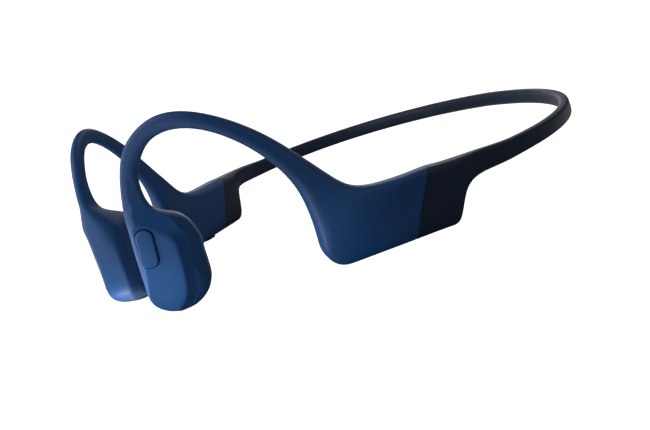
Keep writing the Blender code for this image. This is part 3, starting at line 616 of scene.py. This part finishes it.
def circuit_board(name):
    """Green solder mask with a faint pattern of traces."""
    material, tree, shader = new_material(name)
    place = tree.nodes.new("ShaderNodeTexCoord")
    traces = tree.nodes.new("ShaderNodeTexBrick")
    traces.inputs["Scale"].default_value = 700
    traces.inputs["Color1"].default_value = (0.01, 0.07, 0.035, 1)
    traces.inputs["Color2"].default_value = (0.012, 0.085, 0.04, 1)
    traces.inputs["Mortar"].default_value = (0.05, 0.2, 0.09, 1)
    traces.inputs["Mortar Size"].default_value = 0.03
    tree.links.new(place.outputs["Object"], traces.inputs["Vector"])
    tree.links.new(traces.outputs["Color"], shader.inputs["Base Color"])
    bump(tree, shader, traces.outputs["Fac"], 0.3, 0.00003)
    shader.inputs["Roughness"].default_value = 0.38
    return material


def make_materials():
    return {
        "blue_silicone": silicone("blue_silicone", (0.0005, 0.0605, 0.22), 0.5),
        "dark_silicone": silicone("dark_silicone", (0.0005, 0.0137, 0.0508), 0.5),
        "black_plastic": plastic("black_plastic", (0.006, 0.006, 0.008), 0.42),
        "titanium": metal("titanium", (0.42, 0.41, 0.4), 0.36, (1, 1, 0.1)),
        "steel": metal("steel", (0.52, 0.52, 0.54), 0.3),
        "nickel": metal("nickel", (0.62, 0.6, 0.55), 0.24),
        "copper": metal("copper", (0.65, 0.28, 0.14), 0.3, (1, 0.2, 1)),
        "gold": metal("gold", (0.85, 0.6, 0.26), 0.22),
        "circuit_board": circuit_board("circuit_board"),
        "cell_foil": metal("cell_foil", (0.5, 0.51, 0.54), 0.34, (0.2, 1, 1)),
        "clear_plastic": plastic("clear_plastic", (0.75, 0.77, 0.8), 0.2),
    }


# ---------------------------------------------------------------- pieces

def arm_skin(side, looks):
    """The blue over-mould, from the pod's bottom to the seam."""
    bottom = POD_BOTTOM * (1 - np.cos(np.radians(np.linspace(3, 90, POD_BOTTOM_RINGS))))
    pod = np.r_[bottom[:-1], stations_between(POD_BOTTOM, POD_END, POD_STEP)]
    above = stations_between(POD_END, SEAM - SEAM_GROOVE, ARM_STEP)[1:]
    rings = [
        *flatten_plateau(skin_rings(pod, ARM_POINTS)),
        *skin_rings(above, ARM_POINTS),
        skin_rings([SEAM], ARM_POINTS, SEAM_TUCK)[0],
    ]
    skin = mesh_object(SIDE_NAME[side] + "_skin", rings, looks["blue_silicone"], side)
    cutters = [pad_pocket(side, looks)]
    if side == LEFT:
        cutters.append(button_pocket(looks))
    else:
        cutters += [key_pocket(key, forward, looks) for key, forward in KEY_FORWARD.items()]
        cutters.append(light_hole(looks))
        cutters.append(sound_hole("microphone_front", looks))
    cut(skin, cutters)
    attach(skin, SIDE_NAME[side] + "_arm")
    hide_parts(SIDE_NAME[side] + "_arm_skin")


def pocket_rings(size, corner, deep, mouth, along, centre, yaw, at=(0, 0), turn=0.0, lip=LIP):
    """A pocket's cutter: straight walls that open into a rounded mouth at the surface."""
    up = 1 if mouth > deep else -1
    outlines = [pill(size, corner, at, turn)]
    levels = [deep]
    for angle in np.radians(np.linspace(0, 90, 5)):
        grow = lip * (1 - np.cos(angle))
        outlines.append(pill(np.array(size) + 2 * grow, corner + grow, at, turn))
        levels.append(mouth - up * lip * (1 - np.sin(angle)))
    outlines.append(pill(np.array(size) + 2 * lip, corner + lip, at, turn))
    levels.append(mouth + up * POCKET_OVER)
    return [local_to_world(ring, centre, yaw) for ring in stack(outlines, levels, along)]


def pocket(name, side, looks, *shape, **more):
    """A cutter of this shape, as pocket_rings takes it."""
    return mesh_object(name, pocket_rings(*shape, **more), looks["blue_silicone"], side)


def pad_pocket(side, looks):
    size = np.array(PAD) + 2 * PAD_GROOVE
    return pocket("pad_pocket", side, looks, size, PAD_CORNER + PAD_GROOVE, PAD_TOP + PAD_DEPTH,
                  PAD_MOUTH, "y", POD_CENTRE, POD_YAW, lip=PAD_LIP)


def lean(rings, low, high):
    """Tilts a piece made round the button's centre with the plateau, all of it at high and none at low."""
    ahead, out = pod_axes()
    leant = []
    for ring in rings:
        offset = ring - np.array(POD_CENTRE)
        forward, outward, up = offset @ ahead, offset @ out, offset[:, 2]
        share = np.clip((outward - low) / (high - low), 0, 1)
        rise = PLATEAU[1] * (forward - BUTTON_CENTRE[0]) + PLATEAU[2] * (up - BUTTON_CENTRE[1])
        leant.append(ring + (share * rise)[:, None] * out)
    return leant


def button_pocket(looks):
    size = np.array(BUTTON) + 2 * GROOVE
    level = plateau_level(*BUTTON_CENTRE)
    floor = BUTTON_LOW - BUTTON_DEPTH
    rings = pocket_rings(size, size[0] / 2 - PILL_SHY, floor, level, "y", POD_CENTRE, POD_YAW,
                         BUTTON_CENTRE, BUTTON_TILT, BUTTON_LIP)
    return mesh_object("button_pocket", lean(rings, floor, level), looks["blue_silicone"])


def key_pocket(name, forward, looks):
    return pocket(name + "_pocket", RIGHT, looks, np.array(KEY) + 2 * KEY_GAP, KEY_CORNER + KEY_GAP,
                  KEY_POCKET, MODULE_MOUTH, "z", MODULE_CENTRE, MODULE_YAW, (forward, 0))


def light_hole(looks):
    return pocket("light_pocket", RIGHT, looks, (LIGHT_WIDE, LIGHT_WIDE), LIGHT_WIDE / 2 - PILL_SHY,
                  LIGHT_POCKET, MODULE_MOUTH, "z", MODULE_CENTRE, MODULE_YAW, (LIGHT_FORWARD, 0))


def sound_hole(name, looks):
    return pocket(name + "_pocket", RIGHT, looks, (SOUND_HOLE, SOUND_HOLE), SOUND_HOLE / 2 - PILL_SHY,
                  SOUND_LOW, SOUND_MOUTH, "y", MODULE_CENTRE, MODULE_YAW, MICROPHONES[name])


def button(looks):
    """The multifunction button: a soft pill with a low crown."""
    top = plateau_level(*BUTTON_CENTRE) + BUTTON_PROUD
    rings = block_rings(BUTTON, BUTTON[0] / 2 - PILL_SHY, BUTTON_LOW, top, "y", POD_CENTRE, POD_YAW,
                        BUTTON_SOFT, BUTTON_CENTRE, BUTTON_TILT, BUTTON_CROWN)
    piece = mesh_object("button_cap", lean(rings, BUTTON_LOW + BUTTON_SOFT, top), looks["blue_silicone"])
    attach(piece, "multifunction_button")
    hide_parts("multifunction_button")


def cheek_pad(side, looks):
    """The pad that meets the cheekbone."""
    rings = block_rings(PAD, PAD_CORNER, PAD_TOP, PAD_LOW, "y", POD_CENTRE, POD_YAW, PAD_SOFT)
    piece = mesh_object(SIDE_NAME[side] + "_cheek_pad", rings, looks["blue_silicone"], side)
    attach(piece, SIDE_NAME[side] + "_arm")
    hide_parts(SIDE_NAME[side] + "_contact_pad")


def volume_key(name, forward, looks):
    """A key under the right module."""
    rings = block_rings(KEY, KEY_CORNER, KEY_TOP, KEY_BOTTOM, "z", MODULE_CENTRE, MODULE_YAW,
                        KEY_SOFT, (forward, 0))
    piece = mesh_object(name + "_cap", rings, looks["black_plastic"], RIGHT)
    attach(piece, name)
    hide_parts(name)


def band_half(side, looks):
    """The dark over-mould from the seam to the middle of the neckband, and what runs inside it."""
    arm = SIDE_NAME[side] + "_arm"
    run = np.r_[
        stations_between(SEAM + SEAM_GROOVE, FINE_TO, ARM_STEP),
        stations_between(COARSE_FROM, BACK, BAND_STEP),
    ]
    rings = [skin_rings([SEAM], BAND_POINTS, SEAM_TUCK)[0], *skin_rings(run, BAND_POINTS)]
    skin = mesh_object(SIDE_NAME[side] + "_band", rings, looks["dark_silicone"], side, (True, False))
    if side == RIGHT:
        size = np.array(PORT) + 2 * KEY_GAP
        port = pocket("port_pocket", RIGHT, looks, size, PORT_CORNER + KEY_GAP, KEY_POCKET,
                      MODULE_MOUTH, "z", MODULE_CENTRE, MODULE_YAW, (PORT_FORWARD, 0))
        cut(skin, [port, sound_hole("microphone_rear", looks)])
    bend(skin, side)
    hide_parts(SIDE_NAME[side] + "_band_skin", "neckband_skin_middle")
    for name, radius, rise, count, look in RUNS:
        rings = tube_rings(stations_between(BAND_RUN_START, BACK, RUN_STEP), radius, rise, count)
        tube = mesh_object(f"{arm}_{name}", rings, looks[look], side, (True, False))
        bend(tube, side)
        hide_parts(f"{SIDE_NAME[side]}_band_{name}", f"neckband_{name}_middle")


def bend(piece, side):
    """Bakes the piece's placement into its mesh."""
    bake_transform(piece)


def dress_nodes(frame, looks):
    """Gives the hidden working parts their materials and soft edges."""
    slots = {row["node"]: row["material_slot"] for row in frame["record"]["subparts"]}
    for name, node in frame["nodes"].items():
        node.data.materials.clear()
        node.data.materials.append(looks[slots[name]])
        if node.hide_render:
            continue
        low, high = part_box(name)
        edge = node.modifiers.new("edge", "BEVEL")
        edge.width = min(EDGE_EASE, EDGE_EASE_SHARE * min(high - low))
        edge.segments = 2
        edge.limit_method = "ANGLE"


# ---------------------------------------------------------------- stage

def make_floor():
    """A wide pale floor that the camera sees as white, and that bounces a little light."""
    bm = bmesh.new()
    bmesh.ops.create_circle(bm, cap_ends=True, radius=FLOOR_RADIUS, segments=96)
    material, tree, shader = new_material("floor")
    tone = between(tree, noise(tree, 3, 3), 0, 1)
    pale = two_tone(tree, tone, *FLOOR_TONES)
    tree.links.new(pale, shader.inputs["Base Color"])
    shader.inputs["Roughness"].default_value = 0.9
    shader.inputs["Specular IOR Level"].default_value = 0.2
    shader.inputs["Emission Color"].default_value = (1, 1, 1, 1)
    path = tree.nodes.new("ShaderNodeLightPath")
    glow = between(tree, path.outputs["Is Camera Ray"], 0, FLOOR_WHITE, 0, 1)
    tree.links.new(glow, shader.inputs["Emission Strength"])
    floor = finish_mesh("floor", bm, material)
    floor.location = (0, 0, -FLOOR_DROP)


def add_light(name, kind, watts, place, way):
    """A light here that shines this way, and that the camera doesn't see."""
    data = bpy.data.lights.new(name, kind)
    data.energy = watts
    light = bpy.data.objects.new(name, data)
    bpy.context.scene.collection.objects.link(light)
    light.location = place
    light.rotation_euler = Vector(way).to_track_quat("-Z", "Y").to_euler()
    light.visible_camera = False
    return data


def area_light(width, height, watts, place, way):
    """A soft rectangle of light."""
    data = add_light("softbox", "AREA", watts, place, way)
    data.shape = "RECTANGLE"
    data.size = width
    data.size_y = height


def spot_light(radius, watts, place, aim):
    """A narrow cone of light that fades out this far to each side of the point it aims at."""
    data = add_light("spot", "SPOT", watts, place, aim - place)
    data.spot_size = 2 * np.arctan(radius / SPOT_DISTANCE)
    data.spot_blend = 1
    data.shadow_soft_size = SPOT_SIZE


def make_world():
    """White behind the set for the camera, and no light from it."""
    world = bpy.data.worlds.new("studio")
    bpy.context.scene.world = world
    world.use_nodes = True
    tree = world.node_tree
    room = tree.nodes["Background"]
    room.inputs["Strength"].default_value = 0
    white = tree.nodes.new("ShaderNodeBackground")
    white.inputs["Color"].default_value = (1, 1, 1, 1)
    white.inputs["Strength"].default_value = BACKDROP_WHITE
    path = tree.nodes.new("ShaderNodeLightPath")
    mix = tree.nodes.new("ShaderNodeMixShader")
    tree.links.new(path.outputs["Is Camera Ray"], mix.inputs["Fac"])
    tree.links.new(room.outputs[0], mix.inputs[1])
    tree.links.new(white.outputs[0], mix.inputs[2])
    tree.links.new(mix.outputs[0], tree.nodes["World Output"].inputs["Surface"])


def direction(azimuth, elevation):
    """The way out from the object to this azimuth and elevation, in degrees."""
    a, e = np.radians((azimuth, elevation))
    return Vector((np.cos(e) * np.cos(a), np.cos(e) * np.sin(a), np.sin(e)))


def make_lights():
    for azimuth, elevation, distance, width, height, watts, aim in SOFT_LIGHTS:
        way = direction(azimuth, elevation)
        area_light(width, height, watts, Vector(aim) + way * distance, -way)
    for azimuth, elevation, radius, watts, aim in SPOT_LIGHTS:
        place = Vector(aim) + direction(azimuth, elevation) * SPOT_DISTANCE
        spot_light(radius, watts, place, Vector(aim))
    for x, y, size, watts in FLOOR_LIGHTS:
        area_light(size, size, watts, (x, y, PATCH_HEIGHT), (0, 0, 1))


def make_camera():
    data = bpy.data.cameras.new("camera")
    data.lens = CAMERA_LENS
    data.clip_start = 0.01
    camera = bpy.data.objects.new("camera", data)
    bpy.context.scene.collection.objects.link(camera)
    right, up = Vector(CAMERA_RIGHT).normalized(), Vector(CAMERA_UP).normalized()
    back = right.cross(up)
    turn = Matrix((right, up, back)).transposed().to_4x4()
    camera.matrix_world = Matrix.Translation(Vector(CAMERA_PLACE) * MM) @ turn
    bpy.context.scene.camera = camera


def build(frame):
    """The camera, the finished pieces, the stage and the light."""
    make_camera()
    looks = make_materials()
    for side in (LEFT, RIGHT):
        arm_skin(side, looks)
        cheek_pad(side, looks)
        band_half(side, looks)
    button(looks)
    for name, forward in KEY_FORWARD.items():
        volume_key(name, forward, looks)
    dress_nodes(frame, looks)
    make_floor()
    make_world()
    make_lights()
    bpy.context.scene.view_settings.view_transform = "Standard"


with open("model.json") as file:
    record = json.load(file)
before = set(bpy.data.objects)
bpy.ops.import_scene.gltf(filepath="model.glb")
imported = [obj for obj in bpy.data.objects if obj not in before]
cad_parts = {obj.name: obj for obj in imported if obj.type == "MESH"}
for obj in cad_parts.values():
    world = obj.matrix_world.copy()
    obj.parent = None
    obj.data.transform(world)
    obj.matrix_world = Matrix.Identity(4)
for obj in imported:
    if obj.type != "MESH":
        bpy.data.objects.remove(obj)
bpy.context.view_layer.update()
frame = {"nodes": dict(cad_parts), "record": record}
build(frame)
